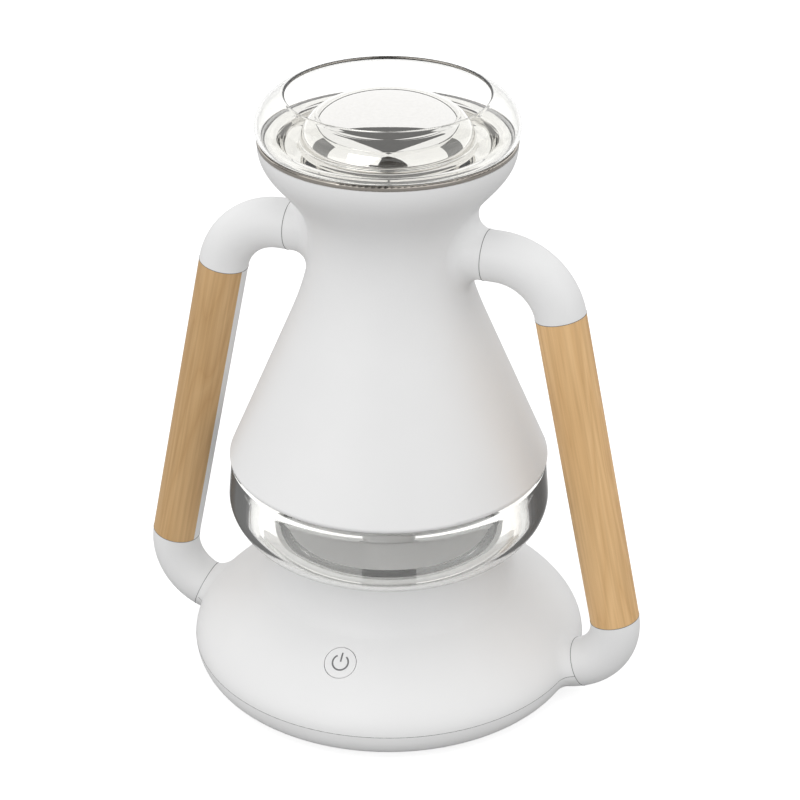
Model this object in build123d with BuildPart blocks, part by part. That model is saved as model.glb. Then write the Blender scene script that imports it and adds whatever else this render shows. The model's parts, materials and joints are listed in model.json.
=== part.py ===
from build123d import *
import math
import os

# Cool mist humidifier, top filled, with two wooden handles.
# Millimetres, +Z up, front (power button) towards -Y, handles in the XZ plane.
# The origin is on the floor, under the middle of the base.

# ---- driving dimensions: outside form ----
BASE_R = 104.8          # widest radius of the base, at the parting line
PARTING_Z = 17.6        # where the lower and upper base shells meet
UNDERSIDE_Z = 1.7       # flat underside of the lower shell
EDGE_RUN = 13.8         # how far the rounded lower edge runs inwards
SHOULDER_R = 70.1       # where the dome of the base turns up into the collar
SHOULDER_Z = 52.8
FLANK_RISE = 12.4       # how far the side of the base rises before it leans in
SHOULDER_RUN = (11.9, 8.7)  # lean of the dome where it meets the shoulder
COLLAR_RUN = (4.0, 2.9)     # lean of the collar where it leaves the shoulder
COLLAR_RISE = 10.2          # height of the collar's bend above the shoulder
SEAT_R = 61.6           # top edge of the collar, under the tank
SEAT_Z = 80.6
TANK_BULGE_R = 83.9
TANK_BULGE_Z = 104.5
TANK_UNDERSIDE_Z = 80.9
TANK_FLOOR_Z = 85.2     # inside
TANK_FLOOR_R = 53.4
LIP_R = 82.8            # lower edge of the cone
LIP_Z = 127.5
CONE_FOOT_Z = 124.4
NECK_START_R = 50.0     # where the straight cone turns into the neck
NECK_START_Z = 204.6
RING_R = 64.1           # chrome ring round the mouth
RING_Z = 299.4
RING_H = 2.6
RIM_R = 51.1            # rim of the clear bowl
RIM_Z = 324.4

# ---- driving dimensions: walls and fits ----
WALL = 2.6
GLASS_WALL = 3.0
GAP = 0.3               # between pieces that move apart
FIT = 0.05              # between pieces that push together

# ---- handles: centre line points in the XZ plane ----
TUBE_R = 12.9
TUBE_BORE_R = 10.3
UPPER_SEAM = (52.3, 246.5)
GRIP_TOP = (90.9, 219.8)
GRIP_FOOT = (125.9, 50.9)
LOWER_SEAM = (108.9, 19.1)
STRIP_HALF_ANGLE = 18   # plastic strip of the grip, facing the body
SPIGOT_R = 9.6
SPIGOT_L = 6.0
ROD_R = 2.0

# ---- water parts ----
MIST_TUBE_R = 12.4
MIST_TUBE_WALL = 1.6
MIST_TUBE_TOP_Z = 288.0
CHAMBER_R = 44.0
CHAMBER_TOP_Z = 79.6
SHELL_FLOOR_Z = 51.0    # inner floor of the upper shell, under the basin
BASIN_Z = 53.3
BASIN_H = 3.0
BASIN_R = 58.7
BASIN_TOP_Z = 77.0
BASIN_WALL = 2.3
SEAL_H = 1.2
TANK_FOOT_Z = BASIN_TOP_Z + SEAL_H

# ---- lid ----
DOME_R = 43.5
DOME_EDGE_Z = 301.2
DOME_RISE = 19.8
DISH_R = 53.2

# ---- button ----
BUTTON_R = 8.2
BUTTON_CENTRE_R = 81.3      # centre of the cap, on the slope of the base
BUTTON_CENTRE_Z = 44.9
BUTTON_SLOPE = 35.0         # tilt of the cap's axis away from vertical
BUTTON_HEADING = -87.0
BUTTON_DEPTH = 3.2
BRIDGE_DROP = 10.0          # control board bridge, below the button's face
BRIDGE_W = 24.0
BRIDGE_T = 1.6
BRIDGE_LEG = 2.0            # thickness of its two legs

# ---- base fittings ----
BASE_FILLET_R = 10.0
NECK_FILLET_R = 8.0
SCREW_CIRCLE_R = 80.0
SCREW_ANGLES = (30, 150, 210, 330)
SCREW_R = 1.95
SCREW_HEAD_R = 3.4
SCREW_HEAD_H = 2.4
SCREW_BITE = 10.0           # length of screw in the upper shell
HEAD_SINK = 5.0
PILLAR_R = 5.5
UPPER_PILLAR_H = 26.0
FOOT_CIRCLE_R = 78.0
FOOT_ANGLES = (60, 120, 240, 300)
FOOT_R = 8.0
FOOT_SINK = 0.8
GRILLE_SIDE = 62.0
INLET_W = 20.0
INLET_H = 12.0
INLET_Z = PARTING_Z
INLET_REACH = 20.0

# ---- fan, behind the middle of the base ----
FAN_Y = 31.0
FAN_SIDE = 60.0
FAN_Z = 7.4
FAN_H = 15.0
FAN_BORE_R = 28.5
FAN_HUB_R = 12.0
FAN_SHAFT_R = 1.5
FAN_HOLE_PITCH = 50.0
FAN_HOLE_R = 1.6
FAN_BACK_T = 1.8        # arms that carry the motor
BLADES = 7
BLADE_TILT = 38
DUCT_R = 10.0
DUCT_Y = 28.0
DUCT_TOP_Z = 72.0

# ---- mist maker ----
HOLDER_R = 16.0
HOLDER_CUP_H = 3.0
HOLDER_SCREW_CIRCLE_R = 13.4
HOLDER_SCREW_R = 1.25
GASKET_H = 2.3
GASKET_LIP = 1.0        # the gasket stands out round the disc by this
DISC_T = 0.7
DISC_RISE = 0.9         # disc's underside above the gasket's
TRANSDUCER_R = 10.0
FLOAT_X = 28.0
FLOAT_Y = -14.0
FLOAT_R = 9.0
FLOAT_H = 8.0
FLOAT_RISE = 8.0
POST_R = 1.6

BOARD_Y = -40.0
BOARD_W = 68.0
BOARD_D = 42.0
BOARD_Z = 10.0
BOARD_T = 1.6
BOARD_EDGE = 7.0        # the fixing holes stand in from the edges by half of this

BASE_ALIGN = (Align.CENTER, Align.CENTER, Align.MIN)

os.makedirs("parts", exist_ok=True)


def save(builder, name, colour):
    """Label a finished piece and write it to its own file."""
    builder.part.label = name
    builder.part.color = Color(*colour)
    export_step(builder.part, "parts/" + name + ".step")


WHITE = (0.92, 0.92, 0.91)
CLEAR = (0.75, 0.85, 0.9, 0.35)
CHROME = (0.75, 0.75, 0.74)
WOOD = (0.83, 0.66, 0.45)
RUBBER = (0.2, 0.2, 0.2)
BOARD = (0.1, 0.4, 0.2)
STEEL = (0.6, 0.6, 0.62)
GREY = (0.45, 0.45, 0.47)


def polar(radius, degrees):
    """A point on a circle about the vertical axis."""
    angle = math.radians(degrees)
    return radius * math.cos(angle), radius * math.sin(angle)


def ring_solid(inner, outer, bottom, height):
    """A plain flat ring about the vertical axis."""
    with BuildPart() as ring:
        with BuildSketch(Plane.XY.offset(bottom)):
            Circle(outer)
            if inner > 0:
                Circle(inner, mode=Mode.SUBTRACT)
        extrude(amount=height)
    return ring


def wedge(half_angle, keep):
    """Keep or cut the sector of a sketch that points along its local +X."""
    reach = 2 * TUBE_R
    width = reach * math.tan(math.radians(half_angle))
    Polygon(
        (0, 0),
        (reach, -width),
        (reach, width),
        align=None,
        mode=Mode.INTERSECT if keep else Mode.SUBTRACT,
    )


# ---- handle centre line ----
GRIP_DX = GRIP_FOOT[0] - GRIP_TOP[0]
GRIP_DZ = GRIP_FOOT[1] - GRIP_TOP[1]
GRIP_LENGTH = math.hypot(GRIP_DX, GRIP_DZ)
GRIP_DIR = (GRIP_DX / GRIP_LENGTH, GRIP_DZ / GRIP_LENGTH)
GRIP_TILT = math.degrees(math.atan2(-GRIP_DIR[1], GRIP_DIR[0]))


def seam_direction():
    """Direction of the lower elbow's centre line where it meets the base stub."""
    chord = math.atan2(LOWER_SEAM[1] - GRIP_FOOT[1], LOWER_SEAM[0] - GRIP_FOOT[0])
    start = math.atan2(GRIP_DIR[1], GRIP_DIR[0])
    if chord > 0:
        chord -= 2 * math.pi
    end = 2 * chord - start
    return math.cos(end), math.sin(end)


LOWER_DIR = seam_direction()
STUB_BEND_R = 39.0


def xz_plane(point, direction, side):
    """A plane across the handle's centre line, at a point in the XZ plane."""
    return Plane(
        origin=(side * point[0], 0, point[1]),
        x_dir=(0, 1, 0),
        z_dir=(side * direction[0], 0, direction[1]),
    )


def upper_path(side):
    """Centre line of the upper elbow: level, then bent down into the grip."""
    bend_r = (UPPER_SEAM[1] - GRIP_TOP[1]) / (1 - math.cos(math.radians(GRIP_TILT)))
    level = GRIP_TOP[0] - UPPER_SEAM[0] - bend_r * math.sin(math.radians(GRIP_TILT))
    with BuildLine(Plane.XZ) as path:
        bend_start = (side * (UPPER_SEAM[0] + level), UPPER_SEAM[1])
        Line((side * UPPER_SEAM[0], UPPER_SEAM[1]), bend_start)
        TangentArc(bend_start, (side * GRIP_TOP[0], GRIP_TOP[1]), tangent=(side, 0))
    return path


def lower_path(side):
    """Centre line of the lower elbow: from the grip round to the base stub."""
    with BuildLine(Plane.XZ) as path:
        TangentArc(
            (side * GRIP_FOOT[0], GRIP_FOOT[1]),
            (side * LOWER_SEAM[0], LOWER_SEAM[1]),
            tangent=(side * GRIP_DIR[0], GRIP_DIR[1]),
        )
    return path


def base_stub_path(side):
    """Centre line of the stub inside the base: it levels out as it goes in."""
    turn = math.atan2(-LOWER_DIR[1], -LOWER_DIR[0])
    inner_x = LOWER_SEAM[0] - STUB_BEND_R * math.sin(turn)
    inner_z = LOWER_SEAM[1] - STUB_BEND_R * (1 - math.cos(turn))
    with BuildLine(Plane.XZ) as path:
        TangentArc(
            (side * LOWER_SEAM[0], LOWER_SEAM[1]),
            (side * inner_x, inner_z),
            tangent=(side * LOWER_DIR[0], LOWER_DIR[1]),
        )
    return path


# ---- base shells ----
def base_outline(inset):
    """Half section of the base; an inset outline is open at the top."""
    top = SEAT_Z + inset
    low = UNDERSIDE_Z + inset
    r_max = BASE_R - inset
    slant = 0.7 * inset
    shoulder = (SHOULDER_R - slant, SHOULDER_Z - slant)
    Polyline((0, top), (0, low), (BASE_R - EDGE_RUN, low))
    EllipticalCenterArc(
        (BASE_R - EDGE_RUN, PARTING_Z),
        EDGE_RUN - inset,
        PARTING_Z - low,
        start_angle=270,
        arc_size=90,
    )
    Bezier(
        (r_max, PARTING_Z),
        (r_max, PARTING_Z + FLANK_RISE - 0.3 * inset),
        (shoulder[0] + SHOULDER_RUN[0], shoulder[1] - SHOULDER_RUN[1]),
        shoulder,
    )
    Bezier(
        shoulder,
        (shoulder[0] - COLLAR_RUN[0], shoulder[1] + COLLAR_RUN[1]),
        (SEAT_R - inset + 0.4, SHOULDER_Z + COLLAR_RISE),
        (SEAT_R - inset, top),
    )
    Line((SEAT_R - inset, top), (0, top))


with BuildPart() as base_form:
    with BuildSketch(Plane.XZ):
        with BuildLine():
            base_outline(0)
        make_face()
    revolve(axis=Axis.Z)
    for side in (-1, 1):
        with BuildSketch(xz_plane(LOWER_SEAM, LOWER_DIR, side)):
            Circle(TUBE_R)
        sweep(path=base_stub_path(side).line)
        with BuildSketch(xz_plane(LOWER_SEAM, LOWER_DIR, side)):
            Circle(SPIGOT_R)
        extrude(amount=-SPIGOT_L + 1)
    stub_joints = [
        edge
        for edge in base_form.edges()
        if edge.geom_type == GeomType.BSPLINE
        and abs(edge.center().X) > SCREW_CIRCLE_R
        and abs(edge.center().Y) < TUBE_R + 1
        and abs(edge.center().X) < LOWER_SEAM[0] - 2
    ]
    fillet(stub_joints, BASE_FILLET_R)

# plain hollow inside the base shells
with BuildPart() as base_hollow:
    with BuildSketch(Plane.XZ):
        with BuildLine():
            base_outline(WALL)
        make_face()
    revolve(axis=Axis.Z)

heading = math.radians(BUTTON_HEADING)
slope = math.radians(BUTTON_SLOPE)
BUTTON_AXIS = Vector(
    math.sin(slope) * math.cos(heading),
    math.sin(slope) * math.sin(heading),
    math.cos(slope),
)
BUTTON_CENTRE = Vector(
    BUTTON_CENTRE_R * math.cos(heading),
    BUTTON_CENTRE_R * math.sin(heading),
    BUTTON_CENTRE_Z,
)
button_plane = Plane(origin=BUTTON_CENTRE, z_dir=BUTTON_AXIS)

# ---- lower shell ----
with BuildPart() as base_lower_shell:
    add(base_form.part)
    add(base_hollow.part, mode=Mode.SUBTRACT)
    split(bisect_by=Plane.XY.offset(PARTING_Z), keep=Keep.BOTTOM)
    # screw pillars with sunk heads
    with BuildSketch(Plane.XY.offset(UNDERSIDE_Z)):
        with Locations(*[polar(SCREW_CIRCLE_R, a) for a in SCREW_ANGLES]):
            Circle(PILLAR_R)
    extrude(amount=PARTING_Z - UNDERSIDE_Z)
    with Locations(*[(*polar(SCREW_CIRCLE_R, a), UNDERSIDE_Z) for a in SCREW_ANGLES]):
        Cylinder(SCREW_R + GAP, PARTING_Z, mode=Mode.SUBTRACT, align=BASE_ALIGN)
        Cylinder(SCREW_HEAD_R + GAP, HEAD_SINK, mode=Mode.SUBTRACT, align=BASE_ALIGN)
    # shallow seats for the rubber feet
    with Locations(*[(*polar(FOOT_CIRCLE_R, a), UNDERSIDE_Z) for a in FOOT_ANGLES]):
        Cylinder(FOOT_R + FIT, FOOT_SINK, mode=Mode.SUBTRACT, align=BASE_ALIGN)
    # opening for the intake grille
    with Locations((0, FAN_Y, 0)):
        Box(GRILLE_SIDE, GRILLE_SIDE, 4 * WALL, mode=Mode.SUBTRACT)
    # notch for the power inlet
    with BuildSketch(Plane.XZ.offset(-BASE_R)):
        with Locations((0, INLET_Z)):
            Rectangle(INLET_W + 2 * FIT, INLET_H + 2 * FIT)
    extrude(amount=INLET_REACH, mode=Mode.SUBTRACT)
    # posts under the main board
    with Locations((0, BOARD_Y, UNDERSIDE_Z + 1)):
        with GridLocations(BOARD_W - BOARD_EDGE, BOARD_D - BOARD_EDGE, 2, 2):
            Cylinder(3.0, BOARD_Z - UNDERSIDE_Z - 1, align=BASE_ALIGN)
save(base_lower_shell, "base_lower_shell", WHITE)

# ---- upper shell ----
with BuildPart() as base_upper_shell:
    add(base_form.part)
    add(base_hollow.part, mode=Mode.SUBTRACT)
    # inner floor under the basin
    with BuildSketch(Plane.XY.offset(SHELL_FLOOR_Z)):
        Circle(SHOULDER_R - 0.4)
    extrude(amount=BASIN_Z - SHELL_FLOOR_Z)
    # way through for the transducer and the air duct
    with Locations((0, 0, SHELL_FLOOR_Z - 1)):
        Cylinder(HOLDER_R + GAP, 2 * WALL, mode=Mode.SUBTRACT, align=BASE_ALIGN)
    with Locations((0, DUCT_Y, SHELL_FLOOR_Z - 1)):
        Cylinder(DUCT_R + GAP, 2 * WALL, mode=Mode.SUBTRACT, align=BASE_ALIGN)
    split(bisect_by=Plane.XY.offset(PARTING_Z), keep=Keep.TOP)
    # screw pillars
    with BuildSketch(Plane.XY.offset(PARTING_Z)):
        with Locations(*[polar(SCREW_CIRCLE_R, a) for a in SCREW_ANGLES]):
            Circle(PILLAR_R - 0.5)
    extrude(amount=UPPER_PILLAR_H)
    with Locations(*[(*polar(SCREW_CIRCLE_R, a), PARTING_Z) for a in SCREW_ANGLES]):
        Cylinder(SCREW_R + FIT, SCREW_BITE + 1, mode=Mode.SUBTRACT, align=BASE_ALIGN)
    # hole for the power button
    with BuildSketch(button_plane.offset(-3 * WALL)):
        Circle(BUTTON_R + GAP)
    extrude(amount=6 * WALL, mode=Mode.SUBTRACT)
    # bridge that carries the control board under the button
    with BuildSketch(button_plane.offset(-BRIDGE_DROP - BRIDGE_T)):
        RectangleRounded(BRIDGE_W, BRIDGE_W, 3)
    extrude(amount=BRIDGE_T)
    with BuildSketch(button_plane.offset(-BRIDGE_DROP)):
        with GridLocations(BRIDGE_W - 1.2 * BRIDGE_LEG, 0, 2, 1):
            Rectangle(BRIDGE_LEG, BRIDGE_W)
    extrude(amount=BRIDGE_DROP - WALL)
    # notch for the power inlet
    with BuildSketch(Plane.XZ.offset(-BASE_R)):
        with Locations((0, INLET_Z)):
            Rectangle(INLET_W + 2 * FIT, INLET_H + 2 * FIT)
    extrude(amount=INLET_REACH, mode=Mode.SUBTRACT)
    # pillar and bridge may not stand proud of the outside
    add(base_form.part, mode=Mode.INTERSECT)
save(base_upper_shell, "base_upper_shell", WHITE)

# ---- feet and screws ----
with BuildPart() as rubber_feet:
    with Locations(*[(*polar(FOOT_CIRCLE_R, a), 0) for a in FOOT_ANGLES]):
        Cylinder(FOOT_R, UNDERSIDE_Z + FOOT_SINK, align=BASE_ALIGN)
    chamfer(rubber_feet.edges().group_by(Axis.Z)[0], 0.6)
save(rubber_feet, "rubber_feet", RUBBER)

with BuildPart() as base_screws:
    head_top = UNDERSIDE_Z + HEAD_SINK
    with Locations(*[(*polar(SCREW_CIRCLE_R, a), head_top - SCREW_HEAD_H) for a in SCREW_ANGLES]):
        Cylinder(SCREW_HEAD_R, SCREW_HEAD_H, align=BASE_ALIGN)
        Cylinder(SCREW_R, PARTING_Z + SCREW_BITE - head_top + SCREW_HEAD_H, align=BASE_ALIGN)
        Box(1.0, 4.0, 2.2, mode=Mode.SUBTRACT)
        Box(4.0, 1.0, 2.2, mode=Mode.SUBTRACT)
save(base_screws, "base_screws", STEEL)

# ---- air intake ----
with BuildPart() as intake_grille:
    with BuildSketch(Plane.XY.offset(UNDERSIDE_Z)):
        with Locations((0, FAN_Y)):
            RectangleRounded(GRILLE_SIDE - 2 * FIT, GRILLE_SIDE - 2 * FIT, 2)
    extrude(amount=2.2)
    with BuildSketch(Plane.XY.offset(UNDERSIDE_Z)):
        with Locations((0, FAN_Y)):
            with GridLocations(0, 5.0, 1, 10):
                SlotOverall(50, 2.4)
    extrude(amount=2.2, mode=Mode.SUBTRACT)
save(intake_grille, "intake_grille", WHITE)

with BuildPart() as air_filter:
    with Locations((0, FAN_Y, UNDERSIDE_Z + 2.3)):
        Box(FAN_SIDE - 4, FAN_SIDE - 4, 3.0, align=BASE_ALIGN)
save(air_filter, "air_filter", RUBBER)

# ---- fan ----
with BuildPart() as fan_frame:
    with BuildSketch(Plane.XY.offset(FAN_Z)):
        with Locations((0, FAN_Y)):
            RectangleRounded(FAN_SIDE, FAN_SIDE, 4)
            Circle(FAN_BORE_R, mode=Mode.SUBTRACT)
            with GridLocations(FAN_HOLE_PITCH, FAN_HOLE_PITCH, 2, 2):
                Circle(FAN_HOLE_R, mode=Mode.SUBTRACT)
    extrude(amount=FAN_H)
    with BuildSketch(Plane.XY.offset(FAN_Z)):
        with Locations((0, FAN_Y)):
            Circle(FAN_HUB_R)
            with PolarLocations(20, 3):
                Rectangle(20, 3)
    extrude(amount=FAN_BACK_T)
save(fan_frame, "fan_frame", RUBBER)

with BuildPart() as fan_screws:
    with Locations((0, FAN_Y, FAN_Z)):
        with GridLocations(FAN_HOLE_PITCH, FAN_HOLE_PITCH, 2, 2):
            Cylinder(FAN_HOLE_R - 0.1, FAN_H + 1.0, align=BASE_ALIGN)
            with Locations((0, 0, FAN_H)):
                Cylinder(2.8, 1.6, align=BASE_ALIGN)
save(fan_screws, "fan_screws", STEEL)

MOTOR_Z = FAN_Z + FAN_BACK_T
with BuildPart() as fan_motor:
    with BuildSketch(Plane.XY.offset(MOTOR_Z)):
        with Locations((0, FAN_Y)):
            Circle(9.2)
            Circle(FAN_SHAFT_R + FIT, mode=Mode.SUBTRACT)
    extrude(amount=8.5)
save(fan_motor, "fan_motor", STEEL)

with BuildPart() as fan_rotor:
    with Locations((0, FAN_Y, MOTOR_Z + 0.8)):
        Cylinder(FAN_HUB_R, 10.6, align=BASE_ALIGN)
        Cylinder(10.0, 8.6, align=BASE_ALIGN, mode=Mode.SUBTRACT)
        Cylinder(FAN_SHAFT_R, 9.5, align=BASE_ALIGN)
    with Locations((0, FAN_Y, MOTOR_Z + 6.1)):
        with PolarLocations(19.4, BLADES):
            with Locations(Location((0, 0, 0), (BLADE_TILT, 0, 0))):
                Box(16, 8.5, 1.2)
save(fan_rotor, "fan_rotor", GREY)

PLENUM_Z = FAN_Z + FAN_H + 1.8     # clear of the fan's screw heads
PLENUM_H = 7.0
DUCT_WALL = 1.5
with BuildPart() as air_duct:
    with Locations((0, FAN_Y, PLENUM_Z)):
        Box(FAN_SIDE, FAN_SIDE, PLENUM_H, align=BASE_ALIGN)
        Box(
            FAN_SIDE - 2 * DUCT_WALL,
            FAN_SIDE - 2 * DUCT_WALL,
            PLENUM_H - DUCT_WALL,
            align=BASE_ALIGN,
            mode=Mode.SUBTRACT,
        )
    with Locations((0, DUCT_Y, PLENUM_Z + PLENUM_H - DUCT_WALL)):
        Cylinder(DUCT_R, DUCT_TOP_Z - PLENUM_Z - PLENUM_H + DUCT_WALL, align=BASE_ALIGN)
    with Locations((0, DUCT_Y, PLENUM_Z + PLENUM_H - 2 * DUCT_WALL)):
        Cylinder(DUCT_R - DUCT_WALL, DUCT_TOP_Z, align=BASE_ALIGN, mode=Mode.SUBTRACT)
save(air_duct, "air_duct", WHITE)

# ---- basin and mist maker ----
with BuildPart() as water_basin:
    with BuildSketch(Plane.XY.offset(BASIN_Z)):
        Circle(BASIN_R)
        Circle(TRANSDUCER_R - 1, mode=Mode.SUBTRACT)
        with Locations((0, DUCT_Y)):
            Circle(DUCT_R + FIT, mode=Mode.SUBTRACT)
    extrude(amount=BASIN_H)
    with BuildSketch(Plane.XY.offset(BASIN_Z)):
        Circle(BASIN_R)
        Circle(BASIN_R - BASIN_WALL, mode=Mode.SUBTRACT)
    extrude(amount=BASIN_TOP_Z - BASIN_Z)
    # collar that keeps water out of the duct hole
    with BuildSketch(Plane.XY.offset(BASIN_Z + BASIN_H)):
        with Locations((0, DUCT_Y)):
            Circle(DUCT_R + 2)
            Circle(DUCT_R + FIT, mode=Mode.SUBTRACT)
    extrude(amount=10)
    with Locations((0, 0, BASIN_Z)):
        with PolarLocations(HOLDER_SCREW_CIRCLE_R, 3):
            Cylinder(HOLDER_SCREW_R + FIT, 2.2, align=BASE_ALIGN, mode=Mode.SUBTRACT)
save(water_basin, "water_basin", WHITE)

GASKET_Z = BASIN_Z - GASKET_H
with BuildPart() as transducer_gasket:
    with BuildSketch(Plane.XY.offset(GASKET_Z)):
        Circle(TRANSDUCER_R + GASKET_LIP)
        Circle(TRANSDUCER_R - 1.5 * GASKET_LIP, mode=Mode.SUBTRACT)
    extrude(amount=GASKET_H)
    with Locations((0, 0, GASKET_Z + DISC_RISE)):
        Cylinder(TRANSDUCER_R, DISC_T, align=BASE_ALIGN, mode=Mode.SUBTRACT)
save(transducer_gasket, "transducer_gasket", RUBBER)

with BuildPart() as transducer_disc:
    with Locations((0, 0, GASKET_Z + DISC_RISE)):
        Cylinder(TRANSDUCER_R, DISC_T, align=BASE_ALIGN)
save(transducer_disc, "transducer_disc", CHROME)

HOLDER_Z = GASKET_Z - HOLDER_CUP_H
with BuildPart() as transducer_holder:
    with BuildSketch(Plane.XY.offset(GASKET_Z)):
        Circle(HOLDER_R)
        Circle(TRANSDUCER_R + GASKET_LIP + FIT, mode=Mode.SUBTRACT)
    extrude(amount=GASKET_H)
    with BuildSketch(Plane.XY.offset(HOLDER_Z)):
        Circle(HOLDER_R)
        Circle(TRANSDUCER_R - 1.5 * GASKET_LIP, mode=Mode.SUBTRACT)
    extrude(amount=HOLDER_CUP_H)
    with Locations((0, 0, HOLDER_Z)):
        with PolarLocations(HOLDER_SCREW_CIRCLE_R, 3):
            Cylinder(
                HOLDER_SCREW_R + FIT,
                HOLDER_CUP_H + GASKET_H + 1,
                align=BASE_ALIGN,
                mode=Mode.SUBTRACT,
            )
save(transducer_holder, "transducer_holder", STEEL)

HOLDER_SCREW_HEAD_H = 2.0
with BuildPart() as holder_screws:
    with Locations((0, 0, HOLDER_Z - HOLDER_SCREW_HEAD_H)):
        with PolarLocations(HOLDER_SCREW_CIRCLE_R, 3):
            Cylinder(HOLDER_SCREW_R + 1.05, HOLDER_SCREW_HEAD_H, align=BASE_ALIGN)
            Cylinder(HOLDER_SCREW_R, 9.2, align=BASE_ALIGN)
save(holder_screws, "holder_screws", STEEL)

with BuildPart() as float_post:
    with Locations((FLOAT_X, FLOAT_Y, BASIN_Z + BASIN_H)):
        Cylinder(POST_R, FLOAT_H + FLOAT_RISE + 3, align=BASE_ALIGN)
        with Locations((0, 0, FLOAT_H + FLOAT_RISE + 1)):
            Cylinder(POST_R + 1.6, 2, align=BASE_ALIGN)
save(float_post, "float_post", WHITE)

with BuildPart() as water_float:
    with Locations((FLOAT_X, FLOAT_Y, BASIN_Z + BASIN_H + GAP)):
        Cylinder(FLOAT_R, FLOAT_H, align=BASE_ALIGN)
    fillet(water_float.edges(), 1.5)
    with Locations((FLOAT_X, FLOAT_Y, BASIN_Z + BASIN_H)):
        Cylinder(POST_R + GAP, 2 * FLOAT_H, align=BASE_ALIGN, mode=Mode.SUBTRACT)
save(water_float, "water_float", WHITE)

CHAMBER_FLOOR_Z = BASIN_Z + BASIN_H
with BuildPart() as mist_chamber:
    with Locations((0, 0, CHAMBER_FLOOR_Z)):
        Cylinder(CHAMBER_R, CHAMBER_TOP_Z - CHAMBER_FLOOR_Z, align=BASE_ALIGN)
    fillet(mist_chamber.edges().group_by(Axis.Z)[-1], 2.0)
    with Locations((0, 0, CHAMBER_FLOOR_Z)):
        Cylinder(
            CHAMBER_R - 2.2,
            CHAMBER_TOP_Z - CHAMBER_FLOOR_Z - 2.2,
            align=BASE_ALIGN,
            mode=Mode.SUBTRACT,
        )
        Cylinder(MIST_TUBE_R - MIST_TUBE_WALL, 40, align=BASE_ALIGN, mode=Mode.SUBTRACT)
    # low collar round the foot of the mist tube
    with BuildSketch(Plane.XY.offset(CHAMBER_TOP_Z)):
        Circle(MIST_TUBE_R + 1.8)
        Circle(MIST_TUBE_R + FIT, mode=Mode.SUBTRACT)
    extrude(amount=4)
    # water runs in through slots along the foot
    with Locations((0, 0, CHAMBER_FLOOR_Z)):
        with PolarLocations(CHAMBER_R - 1, 8):
            Box(6, 9, 4, align=BASE_ALIGN, mode=Mode.SUBTRACT)
save(mist_chamber, "mist_chamber", WHITE)

with BuildPart() as mist_tube:
    with BuildSketch(Plane.XY.offset(CHAMBER_TOP_Z)):
        Circle(MIST_TUBE_R)
        Circle(MIST_TUBE_R - MIST_TUBE_WALL, mode=Mode.SUBTRACT)
    extrude(amount=MIST_TUBE_TOP_Z - CHAMBER_TOP_Z)
save(mist_tube, "mist_tube", WHITE)

# ---- boards ----
with BuildPart() as main_board:
    with BuildSketch(Plane.XY.offset(BOARD_Z)):
        with Locations((0, BOARD_Y)):
            RectangleRounded(BOARD_W, BOARD_D, 2)
            with GridLocations(BOARD_W - BOARD_EDGE, BOARD_D - BOARD_EDGE, 2, 2):
                Circle(1.6, mode=Mode.SUBTRACT)
    extrude(amount=BOARD_T)
save(main_board, "main_board", BOARD)

with BuildPart() as board_parts:
    with Locations((0, BOARD_Y, BOARD_Z + BOARD_T)):
        with Locations((-20, 6, 0), (-20, -8, 0), (-6, 8, 0)):
            Cylinder(5, 14, align=BASE_ALIGN)
        with Locations((-2, -10, 0)):
            Box(16, 12, 12, align=BASE_ALIGN)
        with Locations((28, 0, 0)):
            Box(6, 14, 7, align=BASE_ALIGN)
save(board_parts, "board_parts", RUBBER)

with BuildPart() as driver_heatsink:
    with Locations((14, BOARD_Y + 2, BOARD_Z + BOARD_T)):
        Box(16, 26, 3, align=BASE_ALIGN)
        with GridLocations(3.6, 0, 5, 1):
            Box(1.2, 26, 16, align=BASE_ALIGN)
save(driver_heatsink, "driver_heatsink", STEEL)

with BuildPart() as power_inlet:
    with BuildSketch(Plane.XZ.offset(-BASE_R + 1.2)):
        with Locations((0, INLET_Z)):
            RectangleRounded(INLET_W, INLET_H, 0.8)
    extrude(amount=INLET_REACH - 1.4)
    with BuildSketch(Plane.XZ.offset(-BASE_R + 1.2)):
        with Locations((0, INLET_Z)):
            Circle(3.2)
    extrude(amount=10, mode=Mode.SUBTRACT)
    with BuildSketch(Plane.XZ.offset(-BASE_R + 3.0)):
        with Locations((0, INLET_Z)):
            Circle(1.0)
    extrude(amount=10)
save(power_inlet, "power_inlet", RUBBER)

# ---- power button, its switch and its board ----
with BuildPart() as control_board:
    with BuildSketch(button_plane.offset(-BRIDGE_DROP)):
        RectangleRounded(16, 16, 1.5)
    extrude(amount=1.2)
save(control_board, "control_board", BOARD)

with BuildPart() as button_switch:
    with BuildSketch(button_plane.offset(-BRIDGE_DROP + 1.2)):
        Rectangle(6, 6)
    extrude(amount=3.2)
    with BuildSketch(button_plane.offset(-BRIDGE_DROP + 4.4)):
        Circle(1.7)
    extrude(amount=0.8)
save(button_switch, "button_switch", RUBBER)

with BuildPart() as power_button:
    with BuildSketch(button_plane.offset(-BUTTON_DEPTH)):
        Circle(BUTTON_R)
    extrude(amount=3 * BUTTON_DEPTH)
    add(base_form.part, mode=Mode.INTERSECT)
    with BuildSketch(button_plane.offset(-BUTTON_DEPTH)):
        Circle(2.2)
    extrude(amount=-0.7)
save(power_button, "power_button", WHITE)

# ---- tank ----
FOOT_RING_R = BASIN_R + 0.2
tank_foot_seal = ring_solid(FOOT_RING_R - 4.0, FOOT_RING_R - 0.3, BASIN_TOP_Z, SEAL_H)
save(tank_foot_seal, "tank_foot_seal", RUBBER)

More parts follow.
